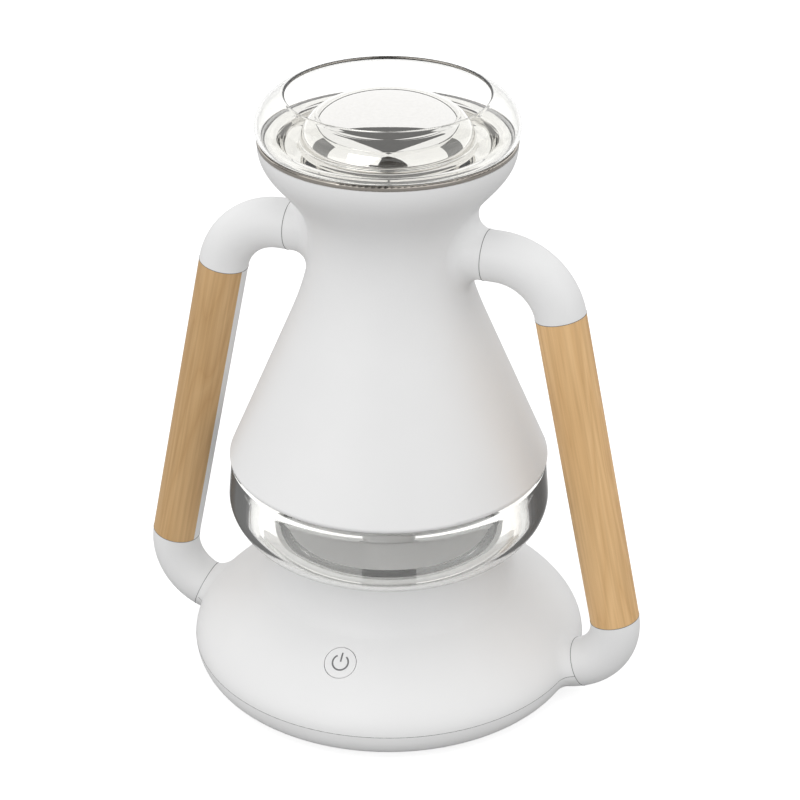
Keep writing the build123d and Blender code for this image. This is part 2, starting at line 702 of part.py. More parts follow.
DRAIN_HOLE_R = 3.0
with BuildPart() as tank_floor:
    with BuildSketch(Plane.XY.offset(TANK_UNDERSIDE_Z)):
        Circle(TANK_FLOOR_R)
        Circle(MIST_TUBE_R + 2.2, mode=Mode.SUBTRACT)
        # drain holes down to the basin, at the back
        with PolarLocations(CHAMBER_R + 5.5, 3, start_angle=50, angular_range=80):
            Circle(DRAIN_HOLE_R, mode=Mode.SUBTRACT)
    extrude(amount=TANK_FLOOR_Z - TANK_UNDERSIDE_Z)
save(tank_floor, "tank_floor", WHITE)

TANK_COLLAR_R = 77.4
WALL_FOOT_R = TANK_FLOOR_R + FIT
with BuildPart() as clear_tank:
    with BuildSketch(Plane.XZ):
        with BuildLine():
            Polyline(
                (WALL_FOOT_R, TANK_UNDERSIDE_Z),
                (FOOT_RING_R - 4.0, TANK_UNDERSIDE_Z),
                (FOOT_RING_R - 4.0, TANK_FOOT_Z),
                (FOOT_RING_R, TANK_FOOT_Z),
                (FOOT_RING_R, TANK_UNDERSIDE_Z),
                (SEAT_R - 1.1, TANK_UNDERSIDE_Z),
            )
            Bezier(
                (SEAT_R - 1.1, TANK_UNDERSIDE_Z),
                (TANK_BULGE_R - 10.7, TANK_UNDERSIDE_Z),
                (TANK_BULGE_R + 0.8, TANK_BULGE_Z - 11.5),
                (TANK_BULGE_R, TANK_BULGE_Z),
            )
            Bezier(
                (TANK_BULGE_R, TANK_BULGE_Z),
                (TANK_BULGE_R - 0.4, TANK_BULGE_Z + 6.0),
                (LIP_R - 0.1, CONE_FOOT_Z - 8.0),
                (LIP_R - 0.4, CONE_FOOT_Z),
            )
            Polyline(
                (LIP_R - 0.4, CONE_FOOT_Z),
                (TANK_COLLAR_R, CONE_FOOT_Z),
                (TANK_COLLAR_R, CONE_FOOT_Z + 8),
                (TANK_COLLAR_R - GLASS_WALL, CONE_FOOT_Z + 8),
                (TANK_COLLAR_R - GLASS_WALL, CONE_FOOT_Z - 1),
                (TANK_BULGE_R - 4.6, CONE_FOOT_Z - 4),
                (TANK_BULGE_R - GLASS_WALL, TANK_BULGE_Z + 1.0),
            )
            Bezier(
                (TANK_BULGE_R - GLASS_WALL, TANK_BULGE_Z + 1.0),
                (TANK_BULGE_R - GLASS_WALL + 0.5, TANK_BULGE_Z - 9.5),
                (WALL_FOOT_R + 17.0, TANK_FLOOR_Z),
                (WALL_FOOT_R, TANK_FLOOR_Z),
            )
            Line((WALL_FOOT_R, TANK_FLOOR_Z), (WALL_FOOT_R, TANK_UNDERSIDE_Z))
        make_face()
    revolve(axis=Axis.Z)
save(clear_tank, "clear_tank", CLEAR)

cone_seal = ring_solid(TANK_COLLAR_R + FIT, TANK_COLLAR_R + 1.9, CONE_FOOT_Z + 0.2, 3.0)
save(cone_seal, "cone_seal", RUBBER)

# ---- upper body: the cone, and the neck with its funnel, bonded into one skin ----
with BuildPart() as upper_form:
    with BuildSketch(Plane.XZ):
        with BuildLine():
            Line((0, CONE_FOOT_Z), (LIP_R - 2.0, CONE_FOOT_Z))
            TangentArc(
                (LIP_R - 2.0, CONE_FOOT_Z),
                (LIP_R, LIP_Z),
                tangent=(1, 0),
            )
            Line((LIP_R, LIP_Z), (NECK_START_R, NECK_START_Z))
            Bezier(
                (NECK_START_R, NECK_START_Z),
                (20.1, 275.4),
                (64.7, 272.8),
                (RING_R, RING_Z),
            )
            Line((RING_R, RING_Z), (0, RING_Z))
            Line((0, RING_Z), (0, CONE_FOOT_Z))
        make_face()
    revolve(axis=Axis.Z)
    for side in (-1, 1):
        with BuildSketch(xz_plane(UPPER_SEAM, (1, 0), side)):
            Circle(TUBE_R)
        extrude(amount=-UPPER_SEAM[0] * 0.6)
    neck_joints = [
        edge
        for edge in upper_form.edges()
        if edge.geom_type == GeomType.BSPLINE
        and abs(edge.center().Z - UPPER_SEAM[1]) < 2 * TUBE_R
        and abs(edge.center().X) < UPPER_SEAM[0] - 2
    ]
    fillet(neck_joints, NECK_FILLET_R)

with BuildPart() as upper_hollow:
    with BuildSketch(Plane.XZ):
        with BuildLine():
            Polyline(
                (0, CONE_FOOT_Z),
                (TANK_COLLAR_R + 2.0, CONE_FOOT_Z),
                (TANK_COLLAR_R + 2.0, CONE_FOOT_Z + 4.5),
                (NECK_START_R - 1.1 * WALL, NECK_START_Z - 0.3),
            )
            Bezier(
                (NECK_START_R - 1.1 * WALL, NECK_START_Z - 0.3),
                (17.4, 275.4),
                (61.9, 273.0),
                (RING_R - WALL, RING_Z),
            )
            Polyline((RING_R - WALL, RING_Z), (0, RING_Z), (0, CONE_FOOT_Z))
        make_face()
    revolve(axis=Axis.Z)

with BuildPart() as body_cone:
    add(upper_form.part)
    add(upper_hollow.part, mode=Mode.SUBTRACT)
    split(bisect_by=Plane.XY.offset(NECK_START_Z), keep=Keep.BOTTOM)
save(body_cone, "body_cone", WHITE)

with BuildPart() as neck_funnel:
    add(upper_form.part)
    add(upper_hollow.part, mode=Mode.SUBTRACT)
    split(bisect_by=Plane.XY.offset(NECK_START_Z), keep=Keep.TOP)
    for side in (-1, 1):
        with BuildSketch(xz_plane(UPPER_SEAM, (1, 0), side)):
            Circle(SPIGOT_R)
        extrude(amount=SPIGOT_L)
        with BuildSketch(xz_plane((0, UPPER_SEAM[1]), (1, 0), side)):
            Circle(ROD_R + FIT)
        extrude(amount=UPPER_SEAM[0] + SPIGOT_L, mode=Mode.SUBTRACT)
save(neck_funnel, "neck_funnel", WHITE)

NECK_INNER_R = 37.2         # inside the waist, level with the stubs
with BuildPart() as neck_bolts:
    for side in (-1, 1):
        with BuildSketch(xz_plane((NECK_INNER_R - 3.4, UPPER_SEAM[1]), (1, 0), side)):
            Circle(3.6)
        extrude(amount=2.8)
        with BuildSketch(xz_plane((NECK_INNER_R - 1, UPPER_SEAM[1]), (1, 0), side)):
            Circle(ROD_R)
        extrude(amount=UPPER_SEAM[0] + SPIGOT_L - NECK_INNER_R)
save(neck_bolts, "neck_bolts", STEEL)

GUIDE_Z = 262.0
with BuildPart() as tube_guide:
    with BuildSketch(Plane.XY.offset(GUIDE_Z)):
        Circle(MIST_TUBE_R + 2.2)
        with PolarLocations(MIST_TUBE_R + 12, 3, start_angle=90):
            Rectangle(25, 2.4)
        Circle(MIST_TUBE_R + FIT, mode=Mode.SUBTRACT)
    extrude(amount=8)
save(tube_guide, "tube_guide", WHITE)

with BuildPart() as trim_ring:
    with BuildSketch(Plane.XY.offset(RING_Z)):
        Circle(RING_R + 0.2)
        Circle(RING_R - WALL, mode=Mode.SUBTRACT)
    extrude(amount=RING_H)
    fillet(trim_ring.edges().filter_by(GeomType.CIRCLE).group_by(SortBy.RADIUS)[-1], 0.8)
save(trim_ring, "trim_ring", CHROME)

# ---- handles ----
for side, name in ((-1, "left"), (1, "right")):
    with BuildPart() as upper_elbow:
        with BuildSketch(xz_plane(UPPER_SEAM, (1, 0), side)):
            Circle(TUBE_R)
            Circle(TUBE_BORE_R, mode=Mode.SUBTRACT)
        sweep(path=upper_path(side).line)
    save(upper_elbow, name + "_upper_elbow", WHITE)

    with BuildPart() as lower_elbow:
        with BuildSketch(xz_plane(GRIP_FOOT, GRIP_DIR, side)):
            Circle(TUBE_R)
            Circle(TUBE_BORE_R, mode=Mode.SUBTRACT)
        sweep(path=lower_path(side).line)
    save(lower_elbow, name + "_lower_elbow", WHITE)

    grip_plane = xz_plane(GRIP_TOP, GRIP_DIR, side)
    with BuildPart() as grip_core:
        with BuildSketch(grip_plane):
            Circle(TUBE_R)
            with Locations(Location((0, 0), -90 * side)):
                wedge(STRIP_HALF_ANGLE, keep=True)
            Circle(TUBE_BORE_R - 0.1)
        extrude(amount=GRIP_LENGTH)
        with BuildSketch(grip_plane.offset(-SPIGOT_L + 1)):
            Circle(SPIGOT_R)
        extrude(amount=GRIP_LENGTH + 2 * SPIGOT_L - 2)
        with BuildSketch(grip_plane.offset(-SPIGOT_L)):
            Circle(ROD_R + FIT)
        extrude(amount=GRIP_LENGTH + 2 * SPIGOT_L, mode=Mode.SUBTRACT)
    save(grip_core, name + "_grip_core", WHITE)

    with BuildPart() as wood_grip:
        with BuildSketch(grip_plane):
            Circle(TUBE_R)
            Circle(TUBE_BORE_R - 0.05, mode=Mode.SUBTRACT)
            with Locations(Location((0, 0), -90 * side)):
                wedge(STRIP_HALF_ANGLE + 0.3, keep=False)
        extrude(amount=GRIP_LENGTH)
    save(wood_grip, name + "_wood_grip", WOOD)

    with BuildPart() as tie_rod:
        with BuildSketch(grip_plane.offset(-SPIGOT_L - 3)):
            Circle(ROD_R)
        extrude(amount=GRIP_LENGTH + 2 * SPIGOT_L + 6)
    save(tie_rod, name + "_tie_rod", STEEL)

# ---- lid: clear bowl, chrome dish and chrome dome ----
BOWL_FOOT_Z = RING_Z + RING_H + GAP
lid_seal = ring_solid(DISH_R + 4.6, RING_R - WALL - 0.6, RING_Z - 3.5, BOWL_FOOT_Z - RING_Z + 3.5)
save(lid_seal, "lid_seal", RUBBER)

with BuildPart() as clear_bowl:
    with BuildSketch(Plane.XZ):
        with BuildLine():
            Bezier(
                (RING_R - 0.4, BOWL_FOOT_Z),
                (RING_R + 3.4, BOWL_FOOT_Z + 6.5),
                (RING_R + 1.4, RIM_Z - 6.0),
                (RIM_R, RIM_Z),
            )
            Line((RIM_R, RIM_Z), (RIM_R - 2.2, RIM_Z))
            Bezier(
                (RIM_R - 2.2, RIM_Z),
                (RING_R - 3.5, RIM_Z - 5.0),
                (RING_R - 3.0, BOWL_FOOT_Z + 6.0),
                (DISH_R + FIT, BOWL_FOOT_Z + 1.0),
            )
            Polyline(
                (DISH_R + FIT, BOWL_FOOT_Z + 1.0),
                (DISH_R + FIT, BOWL_FOOT_Z),
                (RING_R - 0.4, BOWL_FOOT_Z),
            )
        make_face()
    revolve(axis=Axis.Z)
save(clear_bowl, "clear_bowl", CLEAR)

SHEET = 1.2
DISH_LIP_Z = BOWL_FOOT_Z
DISH_LIP_R = DISH_R + 4.0
DISH_LOW_Z = DOME_EDGE_Z - 8.6      # bottom of the trough round the dome
TROUGH_R = DISH_R - 9.0
SADDLE_R = 20.0                     # where the floor has risen to the spigot
SADDLE_Z = DISH_LOW_Z + 4.0
SPIGOT_INNER_R = MIST_TUBE_R + 0.4  # slips over the mist tube
SPIGOT_FOOT_Z = MIST_TUBE_TOP_Z - 10.0
with BuildPart() as mist_dish:
    with BuildSketch(Plane.XZ):
        with BuildLine():
            Line((DISH_LIP_R, DISH_LIP_Z), (DISH_R, DISH_LIP_Z))
            Bezier(
                (DISH_R, DISH_LIP_Z),
                (DISH_R, DISH_LOW_Z + 3),
                (DISH_R - 3, DISH_LOW_Z),
                (TROUGH_R, DISH_LOW_Z),
            )
            Polyline(
                (TROUGH_R, DISH_LOW_Z),
                (TROUGH_R - 7, DISH_LOW_Z),
                (SADDLE_R, SADDLE_Z),
                (SPIGOT_INNER_R, SADDLE_Z),
                (SPIGOT_INNER_R, SPIGOT_FOOT_Z),
                (SPIGOT_INNER_R + SHEET, SPIGOT_FOOT_Z),
                (SPIGOT_INNER_R + SHEET, SADDLE_Z - SHEET),
                (SADDLE_R - 0.4, SADDLE_Z - SHEET),
                (TROUGH_R - 7.3, DISH_LOW_Z - SHEET),
                (TROUGH_R, DISH_LOW_Z - SHEET),
            )
            Bezier(
                (TROUGH_R, DISH_LOW_Z - SHEET),
                (DISH_R - 2, DISH_LOW_Z - SHEET),
                (DISH_R + SHEET - 0.2, DISH_LOW_Z + 2.4),
                (DISH_R + SHEET, DISH_LIP_Z - SHEET),
            )
            Polyline(
                (DISH_R + SHEET, DISH_LIP_Z - SHEET),
                (DISH_LIP_R, DISH_LIP_Z - SHEET),
                (DISH_LIP_R, DISH_LIP_Z),
            )
        make_face()
    revolve(axis=Axis.Z)
save(mist_dish, "mist_dish", CHROME)

DOME_TOP_Z = DOME_EDGE_Z + DOME_RISE
DOME_EDGE_R = DOME_R - 0.6          # the cap's edge, just inside the band below it
DOME_SHOULDER = (1.4, 11.5)         # how far in and up the flank's control point lies
DOME_CROWN_RUN = 30.0               # how far the flat crown pulls outwards
DOME_SKIRT_Z = DOME_EDGE_Z - 4.8
DOME_WALL = 1.5
DOME_INNER_R = DOME_EDGE_R - DOME_WALL
DOME_INNER_TOP = DOME_TOP_Z - DOME_WALL
with BuildPart() as mist_dome:
    with BuildSketch(Plane.XZ):
        with BuildLine():
            Bezier(
                (0, DOME_TOP_Z),
                (DOME_CROWN_RUN, DOME_TOP_Z),
                (DOME_EDGE_R - DOME_SHOULDER[0], DOME_EDGE_Z + DOME_SHOULDER[1]),
                (DOME_EDGE_R, DOME_EDGE_Z),
            )
            Polyline(
                (DOME_EDGE_R, DOME_EDGE_Z),
                (DOME_R, DOME_EDGE_Z - 0.4),
                (DOME_R, DOME_SKIRT_Z),
                (DOME_INNER_R, DOME_SKIRT_Z),
                (DOME_INNER_R, DOME_EDGE_Z),
            )
            Bezier(
                (DOME_INNER_R, DOME_EDGE_Z),
                (DOME_INNER_R - DOME_SHOULDER[0], DOME_EDGE_Z + DOME_SHOULDER[1] - 0.8),
                (DOME_CROWN_RUN - 1, DOME_INNER_TOP),
                (0, DOME_INNER_TOP),
            )
            Line((0, DOME_INNER_TOP), (0, DOME_TOP_Z))
        make_face()
    revolve(axis=Axis.Z)
save(mist_dome, "mist_dome", CHROME)

POST_CIRCLE_R = 29.0
with BuildPart() as dome_posts:
    with BuildSketch(Plane.XY.offset(DISH_LOW_Z - 0.5)):
        with PolarLocations(POST_CIRCLE_R, 3):
            Circle(1.8)
    extrude(amount=DOME_RISE + 10)
    with BuildSketch(Plane.XZ):
        with BuildLine():
            Bezier(
                (DOME_INNER_R, DOME_EDGE_Z),
                (DOME_INNER_R - DOME_SHOULDER[0], DOME_EDGE_Z + DOME_SHOULDER[1] - 0.8),
                (DOME_CROWN_RUN - 1, DOME_INNER_TOP),
                (0, DOME_INNER_TOP),
            )
            Polyline(
                (DOME_INNER_R, DOME_EDGE_Z),
                (TROUGH_R - 7, DISH_LOW_Z),
                (SADDLE_R, SADDLE_Z),
                (0, SADDLE_Z),
                (0, DOME_INNER_TOP),
            )
        make_face()
    revolve(axis=Axis.Z, mode=Mode.INTERSECT)
save(dome_posts, "dome_posts", CHROME)
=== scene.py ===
import json
import math

import bmesh
import bpy
from mathutils import Matrix, Vector
from mathutils.bvhtree import BVHTree


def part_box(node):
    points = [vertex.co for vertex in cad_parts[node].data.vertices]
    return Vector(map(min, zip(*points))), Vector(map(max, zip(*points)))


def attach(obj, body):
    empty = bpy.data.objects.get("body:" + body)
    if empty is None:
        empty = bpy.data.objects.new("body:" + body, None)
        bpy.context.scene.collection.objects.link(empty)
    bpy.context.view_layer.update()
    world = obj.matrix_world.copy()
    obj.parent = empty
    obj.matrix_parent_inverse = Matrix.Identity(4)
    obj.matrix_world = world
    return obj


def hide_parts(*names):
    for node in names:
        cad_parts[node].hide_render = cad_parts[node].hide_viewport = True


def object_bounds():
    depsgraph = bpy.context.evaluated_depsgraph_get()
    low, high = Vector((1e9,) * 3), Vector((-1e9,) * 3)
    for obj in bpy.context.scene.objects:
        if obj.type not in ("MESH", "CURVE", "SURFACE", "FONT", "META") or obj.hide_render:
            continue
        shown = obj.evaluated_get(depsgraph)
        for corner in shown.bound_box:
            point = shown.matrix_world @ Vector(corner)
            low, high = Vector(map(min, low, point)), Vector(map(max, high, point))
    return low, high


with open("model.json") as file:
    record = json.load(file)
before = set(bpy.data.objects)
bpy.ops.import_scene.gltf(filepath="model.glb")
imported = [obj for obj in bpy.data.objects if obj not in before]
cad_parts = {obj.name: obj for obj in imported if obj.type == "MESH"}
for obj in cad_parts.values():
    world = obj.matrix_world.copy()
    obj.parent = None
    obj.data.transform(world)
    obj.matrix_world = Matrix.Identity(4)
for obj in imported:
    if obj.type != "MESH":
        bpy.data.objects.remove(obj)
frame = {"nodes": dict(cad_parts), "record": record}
nodes = frame["nodes"]
cad_low, cad_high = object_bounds()

MM = 0.001
TURNS = 160             # segments round a revolved piece

# piece sizes, in mm
FIT = 0.2               # gap between a piece and the part that holds it
BOWL_WALL = 1.5
TANK_WALL = 2.0
DISH_SHEET = 0.25
SEAM_RADIUS = 0.16
SYMBOL_RADIUS = 4.1
SYMBOL_STROKE = 0.85
INK_DEPTH = 0.05

# the view and the studio, in degrees and metres
VIEW_HEADING = 20.67
VIEW_TILT = 28.2
CEILING = 3.0
FRONT_WALL = -4.0
SIDE_WALL = 3.5
FLOOR_LEVEL = 0.02      # cards stop or lie just over the floor
CARD_DARK = (0.030, 0.028, 0.026)
CARD_GREY = (0.13, 0.13, 0.13)
GLOW_RECEIVERS = ("bowl_glass", "tank_glass", "dish_pressing", "dome_spinning", "tank_floor")


# ---------------------------------------------------------------- mesh helpers
def bezier(p0, p1, p2, p3, steps=14):
    """Points on a cubic curve, the first left out so that runs can be joined."""
    points = []
    for i in range(1, steps + 1):
        t = i / steps
        s = 1 - t
        points.append(
            tuple(
                s**3 * a + 3 * s * s * t * b + 3 * s * t * t * c + t**3 * d
                for a, b, c, d in zip(p0, p1, p2, p3)
            )
        )
    return points


def new_object(name, bm, smooth=True):
    """Turn a bmesh into a scene object with clean outward normals."""
    bmesh.ops.recalc_face_normals(bm, faces=bm.faces)
    mesh = bpy.data.meshes.new(name)
    bm.to_mesh(mesh)
    bm.free()
    if smooth:
        mesh.polygons.foreach_set("use_smooth", [True] * len(mesh.polygons))
    obj = bpy.data.objects.new(name, mesh)
    bpy.context.scene.collection.objects.link(obj)
    return obj


def finish_piece(obj, material, body, replaces=()):
    """Give a new piece its material, its body and the CAD nodes it stands for."""
    obj.data.materials.clear()
    obj.data.materials.append(material)
    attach(obj, body)
    if replaces:
        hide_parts(*replaces)


def revolve(name, outline):
    """Turn a closed outline of (radius, height) points, in mm, about the Z axis."""
    bm = bmesh.new()
    rings = []
    for radius, height in outline:
        if radius < 1e-6:
            rings.append([bm.verts.new((0, 0, height * MM))])
            continue
        ring = []
        for k in range(TURNS):
            a = 2 * math.pi * k / TURNS
            ring.append(bm.verts.new((radius * math.cos(a) * MM, radius * math.sin(a) * MM, height * MM)))
        rings.append(ring)
    count = len(rings)
    for i in range(count):
        low, high = rings[i], rings[(i + 1) % count]
        if len(low) == 1 and len(high) == 1:
            continue
        for k in range(TURNS):
            n = (k + 1) % TURNS
            if len(low) == 1:
                bm.faces.new((low[0], high[n], high[k]))
            elif len(high) == 1:
                bm.faces.new((low[k], low[n], high[0]))
            else:
                bm.faces.new((low[k], low[n], high[n], high[k]))
    return new_object(name, bm)


# ---------------------------------------------------------------- materials
def shader(name):
    """A node material with its Principled shader, ready to be wired."""
    material = bpy.data.materials.new(name)
    material.use_nodes = True
    tree = material.node_tree
    return material, tree, tree.nodes["Principled BSDF"]


def node(tree, kind, **settings):
    """Add a node with its settings."""
    made = tree.nodes.new(kind)
    for key, value in settings.items():
        setattr(made, key, value)
    return made


def object_coords(tree, scale=(1, 1, 1)):
    """Object coordinates, scaled, so that a pattern keeps to the piece."""
    coords = node(tree, "ShaderNodeTexCoord")
    mapping = node(tree, "ShaderNodeMapping")
    mapping.inputs["Scale"].default_value = scale
    tree.links.new(coords.outputs["Object"], mapping.inputs["Vector"])
    return mapping.outputs["Vector"]


def noise(tree, vector, scale, detail=2.0, roughness=0.5, distortion=0.0):
    """A cloudy value from 0 to 1."""
    made = node(tree, "ShaderNodeTexNoise")
    made.inputs["Scale"].default_value = scale
    made.inputs["Detail"].default_value = detail
    made.inputs["Roughness"].default_value = roughness
    made.inputs["Distortion"].default_value = distortion
    tree.links.new(vector, made.inputs["Vector"])
    return made.outputs["Fac"]


def ramp(tree, value, stops):
    """A colour ramp from (position, colour) stops."""
    made = node(tree, "ShaderNodeValToRGB")
    elements = made.color_ramp.elements
    while len(elements) < len(stops):
        elements.new(0.5)
    for element, (position, colour) in zip(elements, stops):
        element.position = position
        element.color = (*colour, 1)
    tree.links.new(value, made.inputs["Fac"])
    return made.outputs["Color"]


def remap(tree, value, source, target):
    """Map a value from one range on to another, held at both ends."""
    made = node(tree, "ShaderNodeMapRange")
    made.inputs["From Min"].default_value = source[0]
    made.inputs["From Max"].default_value = source[1]
    made.inputs["To Min"].default_value = target[0]
    made.inputs["To Max"].default_value = target[1]
    tree.links.new(value, made.inputs["Value"])
    return made.outputs["Result"]


def span(tree, value, low, high):
    """Stretch a 0 to 1 value on to low to high."""
    return remap(tree, value, (0.0, 1.0), (low, high))


def bump(tree, height, strength, distance):
    """A normal that follows a height value."""
    made = node(tree, "ShaderNodeBump")
    made.inputs["Strength"].default_value = strength
    made.inputs["Distance"].default_value = distance
    tree.links.new(height, made.inputs["Height"])
    return made.outputs["Normal"]


def plastic(name, colour, roughness, grain=900.0, grain_depth=0.12, specular=0.5):
    """Moulded plastic: faint cloudy tone, uneven gloss and a fine spark texture."""
    material, tree, bsdf = shader(name)
    vector = object_coords(tree)
    cloud = noise(tree, vector, 14.0, 3.0)
    darker = tuple(c * 0.975 for c in colour)
    tree.links.new(ramp(tree, cloud, [(0.35, darker), (0.65, colour)]), bsdf.inputs["Base Color"])
    fine = noise(tree, vector, grain, 2.0)
    tree.links.new(span(tree, noise(tree, vector, 60.0, 4.0), roughness - 0.05, roughness + 0.06),
                   bsdf.inputs["Roughness"])
    tree.links.new(bump(tree, fine, grain_depth, 0.0002), bsdf.inputs["Normal"])
    bsdf.inputs["Specular IOR Level"].default_value = specular
    return material


def metal(name, colour, roughness, scratch=0.02):
    """Polished or plated metal with very fine wiping marks."""
    material, tree, bsdf = shader(name)
    vector = object_coords(tree, (1, 1, 6))
    fine = noise(tree, vector, 420.0, 3.0)
    tree.links.new(span(tree, noise(tree, vector, 35.0, 4.0), roughness, roughness + 0.03),
                   bsdf.inputs["Roughness"])
    tree.links.new(bump(tree, fine, scratch, 0.0001), bsdf.inputs["Normal"])
    darker = tuple(c * 0.96 for c in colour)
    tree.links.new(ramp(tree, fine, [(0.3, darker), (0.7, colour)]), bsdf.inputs["Base Color"])
    bsdf.inputs["Metallic"].default_value = 1.0
    return material


UPWARD_START = (-0.62, -0.30)       # the normal's height where a wall stops being an underside
LEVEL_START = (0.50, 0.25)          # and where it is no longer a floor
PAINTED_EDGE_START = (0.50, 0.66)          # how far a wall turns away while its painted dark edge builds up
# what the painted dark edge reaches: glass made nearly solid and dull, so that its dark base colour paints
# shade on walls turned away
PAINTED_SOLID_EDGE = {"Transmission Weight": 0.06, "Specular IOR Level": 0.05, "IOR": 1.10}


def upright_only(tree, amount):
    """Fade an amount out wherever the surface isn't an upright wall."""
    geometry = node(tree, "ShaderNodeNewGeometry")
    split = node(tree, "ShaderNodeSeparateXYZ")
    tree.links.new(geometry.outputs["Normal"], split.inputs["Vector"])
    for limits in (UPWARD_START, LEVEL_START):
        product = node(tree, "ShaderNodeMath", operation="MULTIPLY")
        tree.links.new(amount, product.inputs[0])
        tree.links.new(remap(tree, split.outputs["Z"], limits, (0.0, 1.0)), product.inputs[1])
        amount = product.outputs[0]
    return amount


def clear(name, ior, painted_edge_shade_tones, painted_solid_edges=False):
    """Clear polished plastic, with painted shade that darkens its colour towards its edges.

    On upright walls the painted shade goes nearly solid and dark where the wall turns away, standing in for
    the dark edges that thick walls show.
    """
    material, tree, bsdf = shader(name)
    bsdf.inputs["Transmission Weight"].default_value = 1.0
    bsdf.inputs["IOR"].default_value = ior
    polish = noise(tree, object_coords(tree), 40.0, 3.0)
    tree.links.new(span(tree, polish, 0.0, 0.015), bsdf.inputs["Roughness"])
    facing = node(tree, "ShaderNodeLayerWeight")
    facing.inputs["Blend"].default_value = 0.5
    edge = facing.outputs["Facing"]
    if painted_solid_edges:
        edge = upright_only(tree, edge)
        for socket, end in PAINTED_SOLID_EDGE.items():
            start = bsdf.inputs[socket].default_value
            tree.links.new(remap(tree, edge, PAINTED_EDGE_START, (start, end)), bsdf.inputs[socket])
    # painted shade: the base colour darkens as the wall turns away from view
    painted_edge_shade = ramp(tree, edge, [(place, (tone, tone, 0.985 * tone)) for place, tone in painted_edge_shade_tones])
    tree.links.new(painted_edge_shade, bsdf.inputs["Base Color"])
    return material


BEECH = (
    (0.00, (0.660, 0.420, 0.200)),
    (0.55, (0.720, 0.475, 0.240)),
    (0.90, (0.680, 0.435, 0.210)),
    (1.00, (0.645, 0.405, 0.190)),
)


def wood(name, tilt, painted_light_level):
    """Light beech: straight lengthwise grain with a cathedral figure and fine dark flecks."""
    material, tree, bsdf = shader(name)

    def grain_coords(scale):
        coords = node(tree, "ShaderNodeTexCoord")
        turned = node(tree, "ShaderNodeMapping")
        turned.inputs["Rotation"].default_value = (0, tilt, 0)
        tree.links.new(coords.outputs["Object"], turned.inputs["Vector"])
        stretched = node(tree, "ShaderNodeMapping")
        stretched.inputs["Scale"].default_value = scale
        tree.links.new(turned.outputs["Vector"], stretched.inputs["Vector"])
        return stretched.outputs["Vector"]

    figure = noise(tree, grain_coords((1.0, 1.0, 0.11)), 42.0, 2.0, 0.5, 0.8)
    rings = node(tree, "ShaderNodeMath", operation="MULTIPLY")
    rings.inputs[1].default_value = 9.0
    tree.links.new(figure, rings.inputs[0])
    ring_phase = node(tree, "ShaderNodeMath", operation="FRACT")
    tree.links.new(rings.outputs[0], ring_phase.inputs[0])
    streaks = noise(tree, grain_coords((1.0, 1.0, 0.02)), 620.0, 3.0, 0.6)
    cloud = noise(tree, grain_coords((1.0, 1.0, 0.3)), 30.0, 2.0)
    # the grain colours are scaled by a level for each grip: painted light and shade
    stops = [(place, tuple(painted_light_level * channel for channel in shade)) for place, shade in BEECH]
    colour = ramp(tree, ring_phase.outputs[0], stops)
    streak_tone = ramp(tree, streaks, [(0.30, (0.87, 0.84, 0.80)), (0.62, (1.03, 1.03, 1.03))])
    cloud_tone = ramp(tree, cloud, [(0.35, (0.94, 0.93, 0.91)), (0.65, (1.02, 1.02, 1.02))])
    for tone in (streak_tone, cloud_tone):
        mix = node(tree, "ShaderNodeMix", data_type="RGBA", blend_type="MULTIPLY")
        mix.inputs[0].default_value = 1.0
        tree.links.new(colour, mix.inputs[6])
        tree.links.new(tone, mix.inputs[7])
        colour = mix.outputs[2]
    tree.links.new(colour, bsdf.inputs["Base Color"])
    tree.links.new(span(tree, streaks, 0.56, 0.44), bsdf.inputs["Roughness"])
    tree.links.new(bump(tree, streaks, 0.15, 0.0002), bsdf.inputs["Normal"])
    bsdf.inputs["Specular IOR Level"].default_value = 0.3
    return material


# ---------------------------------------------------------------- handle axes
def grip_axis(side):
    """Ends of a grip's centre line, from the tie rod that runs along it."""
    low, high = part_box(side + "_tie_rod")
    rod_radius = (high.y - low.y) / 2
    sign = -1 if side == "left" else 1
    run, rise = high.x - low.x, high.z - low.z
    lean = math.atan2(run, rise)
    for _ in range(8):      # the box also holds the rod's round ends, so the lean settles step by step
        lean = math.atan2(run - 2 * rod_radius * math.cos(lean), rise - 2 * rod_radius * math.sin(lean))
    half = Vector((sign * math.sin(lean), 0, -math.cos(lean)))
    middle = (low + high) / 2
    return middle, half, sign * lean


white = plastic("white_moulded", (0.800, 0.800, 0.800), 0.45, specular=0.35)
inner = plastic("inner_moulded", (0.78, 0.78, 0.78), 0.38)
black = plastic("black_moulded", (0.03, 0.03, 0.033), 0.45)
rubber = plastic("silicone_seal", (0.66, 0.66, 0.65), 0.55, grain=500.0)
dark_rubber = plastic("rubber_foot", (0.10, 0.10, 0.10), 0.7, grain=500.0)
foam = plastic("filter_foam", (0.07, 0.07, 0.075), 0.9, grain=260.0, grain_depth=1.0)
board_green = plastic("solder_mask", (0.02, 0.16, 0.06), 0.3)
ink = plastic("symbol_ink", (0.16, 0.16, 0.165), 0.5)
shadow_grey = plastic("seam_shadow", (0.16, 0.16, 0.16), 0.8)
chrome = metal("polished_chrome", (0.86, 0.85, 0.83), 0.015)
nickel = metal("trim_nickel", (0.50, 0.465, 0.42), 0.10)
steel = metal("zinc_steel", (0.55, 0.55, 0.57), 0.30, 0.1)
alloy = metal("heatsink_alloy", (0.70, 0.71, 0.73), 0.35, 0.1)
# both glasses get painted shade in their colour towards their edges, and the tank's edges go nearly solid and
# dark
bowl_glass = clear("bowl_clear", 1.45, [(0.45, 1.0), (0.75, 0.72), (1.0, 0.25)])
tank_glass = clear("tank_clear", 1.45, [(0.45, 1.0), (0.60, 0.14), (1.0, 0.06)], painted_solid_edges=True)
glossy_white = plastic("glossy_moulded", (0.90, 0.90, 0.90), 0.10, grain_depth=0.0)
glossy_white.node_tree.nodes["Principled BSDF"].inputs["IOR"].default_value = 2.0

